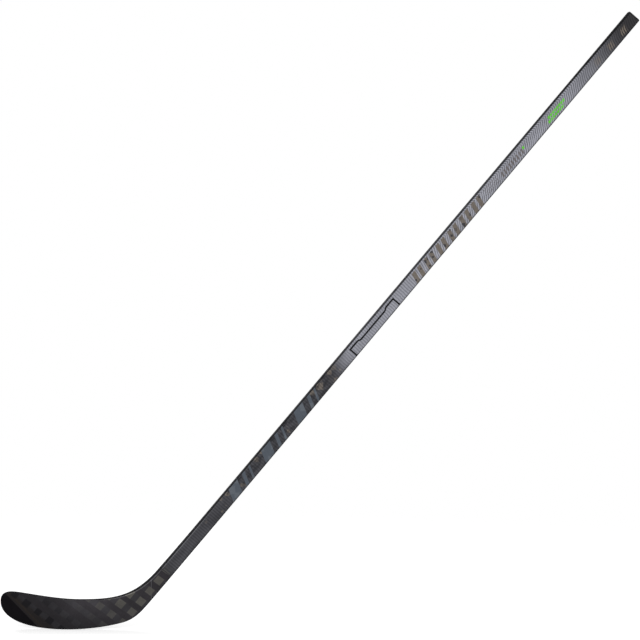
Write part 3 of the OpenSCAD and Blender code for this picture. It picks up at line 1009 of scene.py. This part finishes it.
class BladeWeave(Finish):
    """The woven ply of blade and hosel: broad bands, square windows, satin clear coat."""

    name = "Woven laminate"
    slot = "woven_laminate"
    colours = WeaveColours()
    # How strongly painted shade darkens the edges.
    edge_dark = 0.8
    window_sizes = (12.8, 15.0)
    tow = 1.8
    rubbed_middle = -60 * MM
    seam_place = 64.5 * MM

    def __init__(self, groups: SharedGroups) -> None:
        """Builds the material."""
        super().__init__(groups)
        graph, along, form, c = self.graph, self.along, groups.form, self.colours
        window = graph.step(along, 0, 60, *self.window_sizes)
        weave = self.effect(groups.lattice, Length=window, Width=window, Soft=0.45)
        fibre = self.effect(groups.fibre, Tow=self.tow)
        blotch = graph.step(self.cloud(24, 24, 4.0), 0.35, 0.65, 0.9, 1.12)
        ground = graph.blend(graph.times(weave["Row"], 0.8), c.cross, c.band)
        # Painted shade: the ground darkens towards the toe; the blotches are random tone.
        ground = graph.dim(ground, graph.times(blotch, graph.step(along, -95, 40, 0.66, 1.08)))
        # Painted highlight: a soft pale patch on the middle of the blade's upper half.
        ground = graph.dim(ground, graph.add(1.0, graph.times(self._rubbed(), 0.5)))
        lit = graph.add(graph.step(along, -30, 14, 0.0, 0.5), graph.step(along, 14, 66, 0.0, 0.5))
        lit = graph.times(lit, graph.step(weave["Cell"], 0.0, 1.0, 0.78, 1.0), weave["Window"])
        sunk = graph.times(graph.step(along, -74, -20, 0.85, 0.0), weave["Window"])
        toe = form.toe_line / MM
        slanted = graph.less(along, graph.times(self.across, form.toe_slant))
        line = graph.step(graph.size(graph.less(slanted, toe + 6.0)), 0.8, 2.2, 0.8, 0.0)
        # The seam's pale line is a painted highlight along the ply's raised edge.
        for share, paint in ((graph.step(along, -80, -73, 0.85, 0.0), c.brown), (line, c.brown_line),
                             (graph.times(self._seam(), 0.4), c.seam), (lit, graph.dim(c.light, blotch)),
                             (sunk, c.deep), (graph.fall(slanted, toe - 0.3, toe + 0.3), c.toe)):
            ground = graph.blend(share, ground, paint)
        colour = graph.dim(ground, graph.step(fibre["Tone"], 0.25, 0.75, 0.9, 1.1))
        # Painted shade: the weave darkens towards the rim colour where the surface turns over the edge.
        colour = graph.blend(graph.times(self.spots["Edge"], self.edge_dark), colour, c.rim)
        self.gloss(colour, 0.45)
        self.bump(fibre["Height"], 0.02 * MM)

    def _rubbed(self) -> Socket:
        """A soft painted highlight on the middle of the blade's upper half."""
        graph, place = self.graph, self.spots["Object"]
        off = graph.size(graph.less(graph.part(place, "X"), self.rubbed_middle))
        return graph.times(graph.step(graph.part(place, "Z"), 14 * MM, 48 * MM),
                           graph.fall(off, 15 * MM, 85 * MM))

    def _seam(self) -> Socket:
        """A painted highlight along the raised edge of a ply, which runs upright across the hosel."""
        graph = self.graph
        off = graph.size(graph.less(graph.part(self.spots["Object"], "X"), self.seam_place))
        return graph.times(graph.fall(off, 0.3 * MM, 0.7 * MM), graph.step(self.along, 80, 84))


class EdgingWeave(BladeWeave):
    """The blade's edging: the same ply, with painted shade where it turns over the edge."""

    name = "Edge laminate"
    slot = "edge_laminate"
    edge_dark = 0.9


class JointPly(Finish):
    """The ply over the joint: hosel black with the first pale patch of the print."""

    name = "Joint laminate"
    slot = "woven_laminate"
    patch = (Blocks(145.0, 5.6, 2, 2.2, -7.0, 8.5, 0.0, 0.9),)

    def __init__(self, groups: SharedGroups) -> None:
        """Builds the material."""
        super().__init__(groups)
        graph, along = self.graph, self.along
        fibre = self.effect(groups.fibre, Tow=BladeWeave.tow)
        ground = graph.blend(graph.step(along, 143, 158), tint(50, 50, 53), tint(62, 62, 66))
        share = graph.times(self.rows(self.patch), graph.step(along, 148, 152, 0.7, 0.3))
        colour = graph.blend(share, ground, tint(80, 78, 74))
        colour = graph.dim(colour, graph.step(fibre["Tone"], 0.25, 0.75, 0.92, 1.08))
        # Black print on the narrow sides and painted shade on the corners that turn away from the face.
        colour = graph.blend(graph.times(self.spots["Edge"], 0.8), colour, tint(24, 24, 26))
        self.gloss(colour, 0.45)
        self.bump(fibre["Height"], 0.02 * MM)


@dataclass(frozen=True)
class PlainLook:
    """The values of a finish in one main colour."""

    name: str
    slot: str
    colour: Colour
    second: Colour
    scale: float
    rough: float
    relief: float
    specular: float = 0.3
    fibre: float = 0.0


class PlainFinish(Finish):
    """A finish in one main colour with grain, smears and a fine relief."""

    def __init__(self, groups: SharedGroups, look: PlainLook) -> None:
        """Builds the material.

        Args:
            groups: The shared groups.
            look: The finish's values.
        """
        self.name, self.slot = look.name, look.slot
        super().__init__(groups)
        graph, inputs = self.graph, self.shader.inputs
        grain = graph.noise(self.spots["Object"], look.scale, 3.0, 0.6)
        fibre = self.effect(groups.fibre, Tow=2.0)
        colour = graph.blend(graph.step(grain, 0.35, 0.7), look.colour, look.second)
        tone = graph.step(fibre["Tone"], 0.25, 0.75, 1 - 0.2 * look.fibre, 1 + 0.2 * look.fibre)
        graph.feed(inputs["Base Color"], graph.dim(colour, tone))
        graph.feed(inputs["Roughness"],
                   graph.step(self.spots["Smear"], *self.smear_span, look.rough - 0.06, look.rough + 0.08))
        inputs["Specular IOR Level"].default_value = look.specular
        height = graph.add(graph.times(grain, 1 - look.fibre), graph.times(fibre["Height"], look.fibre))
        self.bump(height, look.relief)


PLAIN_LOOKS = (
    PlainLook("Black laminate", "black_laminate", tint(9, 7, 10), tint(12, 10, 13), 60, 0.4,
              0.015 * MM, 0.04, 0.5),
    PlainLook("Plug plastic", "plug_black", tint(22, 22, 23), tint(28, 28, 29), 500, 0.55, 0.05 * MM, 0.12),
    PlainLook("Inner laminate", "inner_laminate", tint(33, 33, 36), tint(44, 44, 48), 180, 0.45,
              0.05 * MM, 0.4, 0.8),
    PlainLook("Core foam", "core_foam", tint(214, 200, 160), tint(232, 221, 188), 1600, 0.9, 0.12 * MM, 0.2),
    PlainLook("Insert resin", "insert_resin", tint(92, 86, 76), tint(112, 104, 92), 240, 0.55, 0.05 * MM),
    PlainLook("Glue", "glue", tint(186, 168, 120), tint(204, 188, 146), 320, 0.3, 0.04 * MM, 0.5),
)


class Finishes:
    """All the finishes of the stick, by slot."""

    def __init__(self, form: StickForm) -> None:
        """Builds the groups and the materials."""
        groups = SharedGroups(form)
        self.print = ShaftPrint(groups)
        self.weave = BladeWeave(groups)
        self.edging = EdgingWeave(groups)
        self.joint = JointPly(groups)
        self.plain = {look.slot: PlainFinish(groups, look) for look in PLAIN_LOOKS}


# ---- Pieces -------------------------------------------------------------------------


class SubAssembly:
    """A part of the stick that is built and dressed as one."""

    def __init__(self, form: StickForm, finishes: Finishes) -> None:
        """Keeps the stick's form and finishes."""
        self.form = form
        self.finishes = finishes

    def place(self, piece: bpy.types.Object, finish: Finish, node: str) -> None:
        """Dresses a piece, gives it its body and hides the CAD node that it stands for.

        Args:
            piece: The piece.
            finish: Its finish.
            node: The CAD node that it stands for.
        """
        finish.dress(piece)
        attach(piece, BODY)
        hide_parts(node)
        log.info("%s: %d faces, finish %s", piece.name, len(piece.data.polygons), finish.name)


@dataclass
class StickSection:
    """Makes the rings round shaft and hosel, and holds how finely a ring is divided."""

    form: StickForm
    face: int = 10
    arc: int = 8
    edge: int = 5

    def ring(self, along: float, cover: float = 0.0) -> np.ndarray:
        """One ring of points at a place along the stick.

        Args:
            along: Where it lies.
            cover: How deep under the surface it lies.

        Returns:
            The points, in the row frame.
        """
        form = self.form
        half = float(form.depth(along)) / 2 - cover
        low, high = cover - form.half_width, float(form.upper(along)) - cover
        full = float(form.corner_at(along))
        radius = max(0.6 * MM, min(full - cover, half - 0.2 * MM))
        lower_radius = max(0.6 * MM, min(form.corner - cover, half - 0.2 * MM))
        sink = form.dish * float(ease((along - form.joint) / form.taper))
        rows: list[tuple[float, float]] = []

        def line(start: tuple[float, float], end: tuple[float, float], count: int,
                 hollow: tuple[float, float]) -> None:
            """Adds the inner points of a wall that is dished towards the stick's inside."""
            for step in range(1, count):
                share = step / count
                dip = 4 * share * (1 - share)
                rows.append((start[0] + (end[0] - start[0]) * share + hollow[0] * dip,
                             start[1] + (end[1] - start[1]) * share + hollow[1] * dip))

        def arc(middle: tuple[float, float], r: float, turn: float) -> None:
            """Adds a quarter round from an angle on."""
            for step in range(self.arc + 1):
                angle = math.radians(turn + 90 * step / self.arc)
                rows.append((middle[0] + r * math.cos(angle), middle[1] + r * math.sin(angle)))

        line((half, low + lower_radius), (half, high - radius), self.face, (-sink, 0))
        arc((half - radius, high - radius), radius, 0)
        line((half - radius, high), (radius - half, high), self.edge, (0, -sink))
        arc((radius - half, high - radius), radius, 90)
        line((-half, high - radius), (-half, low + lower_radius), self.face, (sink, 0))
        arc((lower_radius - half, low + lower_radius), lower_radius, 180)
        line((lower_radius - half, low), (half - lower_radius, low), self.edge, (0, sink))
        arc((half - lower_radius, low + lower_radius), lower_radius, 270)
        spots = np.array(rows)
        return form.place(np.full(len(spots), along), spots[:, 1], spots[:, 0])

    def rings(self, stations: Sequence[tuple[float, float]]) -> np.ndarray:
        """Rings at several places, each with its own cover."""
        return np.stack([self.ring(along, cover) for along, cover in stations])


@dataclass
class ShaftSizes:
    """Sizes of the shaft's visible pieces."""

    ply: float = 0.4 * MM
    step: float = 7 * MM
    ease: float = 0.16 * MM
    lip: float = 0.24 * MM
    tongue: float = 45 * MM
    tongue_cover: float = 2.3 * MM
    lead_in: tuple[float, float] = (1.5 * MM, 0.8 * MM)
    fillet: float = 1.3 * MM
    fillet_rings: int = 8
    recess: float = 0.5 * MM


class Shaft(SubAssembly):
    """The printed shaft, the ply over its joint, the hosel's wrap and the butt cap."""

    def __init__(self, form: StickForm, finishes: Finishes) -> None:
        """Takes its sizes and makes its ring maker."""
        super().__init__(form, finishes)
        self.sizes = ShaftSizes()
        self.section = StickSection(form)

    def _ply(self, name: str, start: float, end: float, step: float,
             eased: tuple[bool, bool] = (True, True)) -> bpy.types.Object:
        """A ply round the stick whose outer edges are slightly eased.

        Args:
            name: Name of the piece.
            start: Where it begins along the stick.
            end: Where it ends.
            step: Distance between its rings.
            eased: Whether its start and its end are eased.

        Returns:
            The piece.
        """
        size = self.sizes
        count = max(3, round((end - start) / step))
        places = [float(place) for place in np.linspace(start, end, count + 1)]
        places = [places[0], places[0] + size.lip, *places[1:-1], places[-1] - size.lip, places[-1]]
        covers = [0.0] * len(places)
        covers[0] = size.ease if eased[0] else 0.0
        covers[-1] = size.ease if eased[1] else 0.0
        outer = self.section.rings(list(zip(places, covers)))
        inner = self.section.rings([(place, size.ply) for place in places])
        return MeshWork.sleeve(name, outer, inner)

    def build(self) -> None:
        """Builds and dresses the shaft's pieces."""
        form, size, dress = self.form, self.sizes, self.finishes
        skin = self._ply("shaft_skin", form.band_end, form.tube_end, size.step)
        self.place(skin, dress.print, "shaft_outer_ply")
        band = self._ply("joint_ring", form.joint, form.band_end, 3 * MM)
        self.place(band, dress.joint, "joint_band")
        wrap = self._ply("hosel_sock", form.hosel_start, form.joint, 3 * MM, (False, True))
        self.place(wrap, dress.weave, "hosel_wrap")
        self.place(self._cap(), dress.plain["plug_black"], "butt_plug")

    def _cap(self) -> bpy.types.Object:
        """The butt cap: a tongue in the tube, a rim with a rounded edge, a shallow recess."""
        form, size = self.form, self.sizes
        run, taper = size.lead_in
        stations = [(form.tube_end - size.tongue, size.tongue_cover + taper),
                    (form.tube_end - size.tongue + run, size.tongue_cover),
                    (form.tube_end - 0.1 * MM, size.tongue_cover),
                    (form.tube_end + 0.02 * MM, 0.12 * MM), (form.tube_end + 0.25 * MM, 0.0)]
        for turn in np.linspace(0, 90, size.fillet_rings):
            angle = math.radians(float(turn))
            stations.append((form.length - size.fillet * (1 - math.sin(angle)),
                             size.fillet * (1 - math.cos(angle))))
        for sunk, cover in ((0, 3.4), (0.5, 3.8), (1, 4.3), (1, 6.5), (1, 8.8)):
            stations.append((form.length - sunk * size.recess, cover * MM))
        return MeshWork.solid("butt_cap", self.section.rings(stations))


@dataclass
class BladeSizes:
    """Sizes of the blade's visible pieces."""

    ply: float = 0.4 * MM
    stations: int = 110
    toe_stations: int = 30
    rows: int = 22
    arc: int = 7
    crowding: float = 1.6
    swell_end: float = 40 * MM
    least_reach: float = 0.12 * MM


class Blade(SubAssembly):
    """The blade: woven faces, black toe faces and the edging round them."""

    def __init__(self, form: StickForm, finishes: Finishes) -> None:
        """Takes its sizes."""
        super().__init__(form, finishes)
        self.sizes = BladeSizes()

    def _station(self, place: float, slant: float) -> np.ndarray:
        """Along and across of the points of one slanted line from edging to edging.

        Args:
            place: Where the line would cross the shaft's axis.
            slant: How far it runs along for each step across.

        Returns:
            The points, from the lower edge to the upper one.
        """
        line = self.form.inner_line
        value = self.form.slanted(line, slant)
        front = int(np.argmin(value))
        ends = [np.array([np.interp(place, value[part], line[part, 0]),
                          np.interp(place, value[part], line[part, 1])])
                for part in (slice(front, None, -1), slice(front, None))]
        share = np.linspace(0, 1, self.sizes.rows + 1)[:, None]
        return ends[0] + (ends[1] - ends[0]) * share

    def _face(self, name: str, side: Face, stations: np.ndarray) -> bpy.types.Object:
        """One ply on a face, from its visible skin to its own thickness under it.

        Args:
            name: Name of the piece.
            side: Which face it lies on.
            stations: Along and across of the points of each of its lines.

        Returns:
            The piece.
        """
        form, size = self.form, self.sizes
        along, across = stations[..., 0], stations[..., 1]
        share = np.linspace(0, 1, size.rows + 1)
        flat = along[..., None] * form.axis + across[..., None] * form.edge
        swell = form.crown * np.sin(math.pi * share) ** 2 * ease(
            (form.hosel_start - along) / size.swell_end)
        skin = form.bend(flat) + side.value * (form.depth(along) / 2 + swell)
        under = form.bend(flat) + side.value * (form.depth(along) / 2 - size.ply)
        outer = form.place(along, across, skin)
        inner = form.place(along, across, under)
        return MeshWork.solid(name, np.concatenate([outer, inner[:, ::-1]], axis=1))

    def _strip(self, name: str, first: int, last: int) -> bpy.types.Object:
        """One length of edging, swept along the outline with a rounded outer side.

        Args:
            name: Name of the piece.
            first: First point of the outline.
            last: Last point of the outline.

        Returns:
            The piece.
        """
        form = self.form
        rings = []
        for index in range(first, last + 1):
            edge, inwards = form.outline[index], form.inwards[index]
            along = float(form.along_across(edge)[0])
            lower = form.along_across(edge)[1] < 0 and along > form.corner_grows[0]
            radius = float(form.corner_at(along)) if not lower else min(
                form.corner, float(form.depth(along)) / 2 - form.least_wall)
            rings.append(self._strip_ring(edge, inwards, radius))
        return MeshWork.solid(name, np.stack(rings))

    def _strip_ring(self, edge: np.ndarray, inwards: np.ndarray, radius: float) -> np.ndarray:
        """One ring of the edging at a point of the outline.

        Args:
            edge: The outline's point, as X and Z.
            inwards: Direction into the blade.
            radius: Radius of both its corners.

        Returns:
            The ring's points, from the backhand face round the edge to the forehand face.
        """
        form, size = self.form, self.sizes
        turn = np.linspace(0, math.pi / 2, size.arc + 1)
        depths = np.concatenate([[form.edging, (form.edging + radius) / 2], radius * (1 - np.sin(turn))])
        drops = np.concatenate([[0.0, 0.0], radius * (1 - np.cos(turn))])
        depths = np.concatenate([depths, [0.0]])
        drops = np.concatenate([drops, [radius]])
        points = edge + depths[:, None] * inwards
        half = form.depth(form.along_across(points)[:, 0]) / 2
        reach = np.maximum(half - drops, size.least_reach)
        reach[-1] *= 0.5
        middle = form.bend(points)
        near = np.stack([points[:, 0], middle - reach, points[:, 1]], -1)
        far = np.stack([points[:, 0], middle + reach, points[:, 1]], -1)
        return np.concatenate([near, far[::-1]])

    def build(self) -> None:
        """Builds and dresses the blade's pieces."""
        form, size, dress = self.form, self.sizes, self.finishes
        black = dress.plain["black_laminate"]
        share = np.linspace(0, 1, size.stations)
        weave = np.stack([self._station(form.toe_line + (form.hosel_start - form.toe_line) * float(k),
                                        form.toe_slant * (1 - float(k))) for k in share])
        nose = float(np.min(form.slanted(form.inner_line, form.toe_slant))) + 0.05 * MM
        places = nose + (form.toe_line - nose) * np.linspace(0, 1, size.toe_stations) ** size.crowding
        toe = np.stack([self._station(float(place), form.toe_slant) for place in places])
        for side, word in ((Face.BACKHAND, "backhand"), (Face.FOREHAND, "forehand")):
            self.place(self._face(f"{word}_weave_face", side, weave), dress.weave, f"{word}_weave")
            self.place(self._face(f"{word}_toe_face", side, toe), black, f"{word}_toe_ply")
        value = np.maximum(form.slanted(form.along_across(form.outline), form.toe_slant),
                           form.slanted(form.inner_line, form.toe_slant))
        inside = np.where(value < form.toe_line - 0.5 * MM)[0]
        first, last = int(inside[0]), int(inside[-1])
        self.place(self._strip("upper_edging", last, len(value) - 1), dress.edging, "top_edge_strip")
        self.place(self._strip("toe_edging", first, last), black, "toe_edge_strip")
        self.place(self._strip("lower_edging", 0, first), dress.edging, "bottom_edge_strip")


class HiddenLayers:
    """The layers inside, which keep their CAD meshes and get their own finishes."""

    slots = {
        "inner_laminate": ("shaft_axial_ply", "shaft_inner_ply", "tenon_shell", "hosel_sleeve",
                           "spine_rib", "backhand_skin", "forehand_skin"),
        "core_foam": ("upper_core", "lower_core", "tenon_core"),
        "insert_resin": ("heel_insert",),
        "glue": ("plug_glue", "tenon_glue")}

    def __init__(self, finishes: Finishes) -> None:
        """Keeps the finishes."""
        self.finishes = finishes

    def build(self) -> None:
        """Dresses every hidden layer."""
        for slot, nodes in self.slots.items():
            for node in nodes:
                self.finishes.plain[slot].dress(frame["nodes"][node])
                log.info("%s keeps its CAD mesh, finish %s", node, slot)


# ---- Studio -------------------------------------------------------------------------


@dataclass(frozen=True)
class Lamp:
    """A soft lamp: where it is and what it looks at, its size and its power."""

    name: str
    place: tuple[float, float, float]
    aim: tuple[float, float, float]
    width: float
    height: float
    power: float


@dataclass
class Studio:
    """A pale floor, a white surround and soft lamps."""

    floor_radius: float = 2.6
    floor_points: int = 96
    floor_fade: tuple[float, float] = (0.7, 2.3)
    floor_greys: tuple[float, float] = (0.86, 0.88)
    floor_glow: float = 0.42
    surround: float = 0.42
    lamps: tuple[Lamp, ...] = (
        Lamp("key", (-0.7, -2.6, 1.3), (0.4, 0, 0.6), 1.2, 1.2, 42),
        Lamp("fill", (2.6, -2.2, 1.6), (0.4, 0, 0.6), 1.4, 1.4, 20),
        Lamp("back", (-0.9, 2.8, 1.9), (0.4, 0, 0.6), 1.4, 1.4, 52),
    )

    def build(self) -> None:
        """Builds the studio."""
        self._world()
        self._floor()
        for lamp in self.lamps:
            self._lamp(lamp)

    def _seen(self, graph: Graph) -> Socket:
        """1 where a camera, glossy or transmission ray sees the surround."""
        path = graph.node("ShaderNodeLightPath")
        return graph.largest(path.outputs["Is Camera Ray"], path.outputs["Is Glossy Ray"],
                             path.outputs["Is Transmission Ray"])

    def _world(self) -> None:
        """White to the camera and in gloss, softer as light."""
        world = bpy.data.worlds.new("Surround")
        bpy.context.scene.world = world
        graph = Graph.opened(world)
        shell = graph.node("ShaderNodeBackground")
        shell.inputs["Color"].default_value = (1, 1, 1, 1)
        graph.feed(shell.inputs["Strength"], graph.step(self._seen(graph), 0, 1, self.surround, 1.0))
        sink = graph.node("ShaderNodeOutputWorld")
        graph.feed(sink.inputs[0], shell.outputs[0])

    def _floor(self) -> None:
        """A pale round floor that fades into the surround and keeps the stick's shadow."""
        turns = [2 * math.pi * point / self.floor_points for point in range(self.floor_points)]
        rim = [(self.floor_radius * math.cos(turn), self.floor_radius * math.sin(turn), 0) for turn in turns]
        mesh = bpy.data.meshes.new("floor")
        mesh.from_pydata(rim, [], [tuple(range(len(rim)))])
        floor = bpy.data.objects.new("floor", mesh)
        floor.location = (0.1, 0, 0)
        bpy.context.scene.collection.objects.link(floor)
        material = bpy.data.materials.new("Pale floor")
        graph = Graph.opened(material)
        place = graph.node("ShaderNodeTexCoord").outputs["Object"]
        off = graph.node("ShaderNodeVectorMath", operation="LENGTH")
        graph.feed(off.inputs[0], place)
        pale = graph.node("ShaderNodeBsdfDiffuse")
        dull, bright = ((grey, grey, grey, 1) for grey in self.floor_greys)
        graph.feed(pale.inputs["Color"], graph.blend(graph.noise(place, 40.0, 3.0), dull, bright))
        glow = graph.node("ShaderNodeEmission")
        graph.feed(glow.inputs["Strength"], graph.times(self._seen(graph), self.floor_glow))
        both = graph.node("ShaderNodeAddShader")
        clear = graph.node("ShaderNodeBsdfTransparent")
        mix = graph.node("ShaderNodeMixShader")
        sink = graph.node("ShaderNodeOutputMaterial")
        for socket, value in (
                (both.inputs[0], pale.outputs[0]), (both.inputs[1], glow.outputs[0]),
                (mix.inputs[0], graph.step(off.outputs["Value"], *self.floor_fade)),
                (mix.inputs[1], both.outputs[0]), (mix.inputs[2], clear.outputs[0]),
                (sink.inputs[0], mix.outputs[0])):
            graph.feed(socket, value)
        mesh.materials.append(material)

    def _lamp(self, lamp: Lamp) -> None:
        """Adds one soft lamp."""
        light = bpy.data.lights.new(lamp.name, "AREA")
        light.shape = "RECTANGLE"
        light.size, light.size_y, light.energy = lamp.width, lamp.height, lamp.power
        stand = bpy.data.objects.new(lamp.name, light)
        stand.location = lamp.place
        way = Vector(lamp.aim) - Vector(lamp.place)
        stand.rotation_euler = way.to_track_quat("-Z", "Y").to_euler()
        bpy.context.scene.collection.objects.link(stand)


@dataclass
class StudioCamera:
    """A long lens that looks at the backhand side, a little from the toe and from above."""

    turn: float = math.radians(-6.66)
    height: float = math.radians(2.04)
    distance: float = 6.0
    span: float = 1.2442
    aim: tuple[float, float] = (-0.0024, -0.0026)

    def build(self) -> None:
        """Makes the camera and points it at the middle of the stick."""
        low, high = CAD_BOX
        middle = (low + high) / 2
        back = Vector((math.sin(self.turn) * math.cos(self.height),
                       -math.cos(self.turn) * math.cos(self.height), math.sin(self.height)))
        data = bpy.data.cameras.new("camera")
        data.sensor_width = 36
        data.lens = 36 * self.distance / self.span
        data.shift_x, data.shift_y = self.aim
        camera = bpy.data.objects.new("camera", data)
        camera.location = middle + back * self.distance
        camera.rotation_mode = "QUATERNION"
        camera.rotation_quaternion = (-back).to_track_quat("-Z", "Y")
        bpy.context.scene.collection.objects.link(camera)
        bpy.context.scene.camera = camera
        bpy.context.scene.view_settings.view_transform = "Standard"


def main() -> None:
    """Builds the stick, the studio and the camera."""
    logging.basicConfig(level=logging.INFO, format="%(name)s: %(message)s")
    form = StickForm()
    finishes = Finishes(form)
    Shaft(form, finishes).build()
    Blade(form, finishes).build()
    HiddenLayers(finishes).build()
    Studio().build()
    StudioCamera().build()


if __name__ == "__main__":
    main()
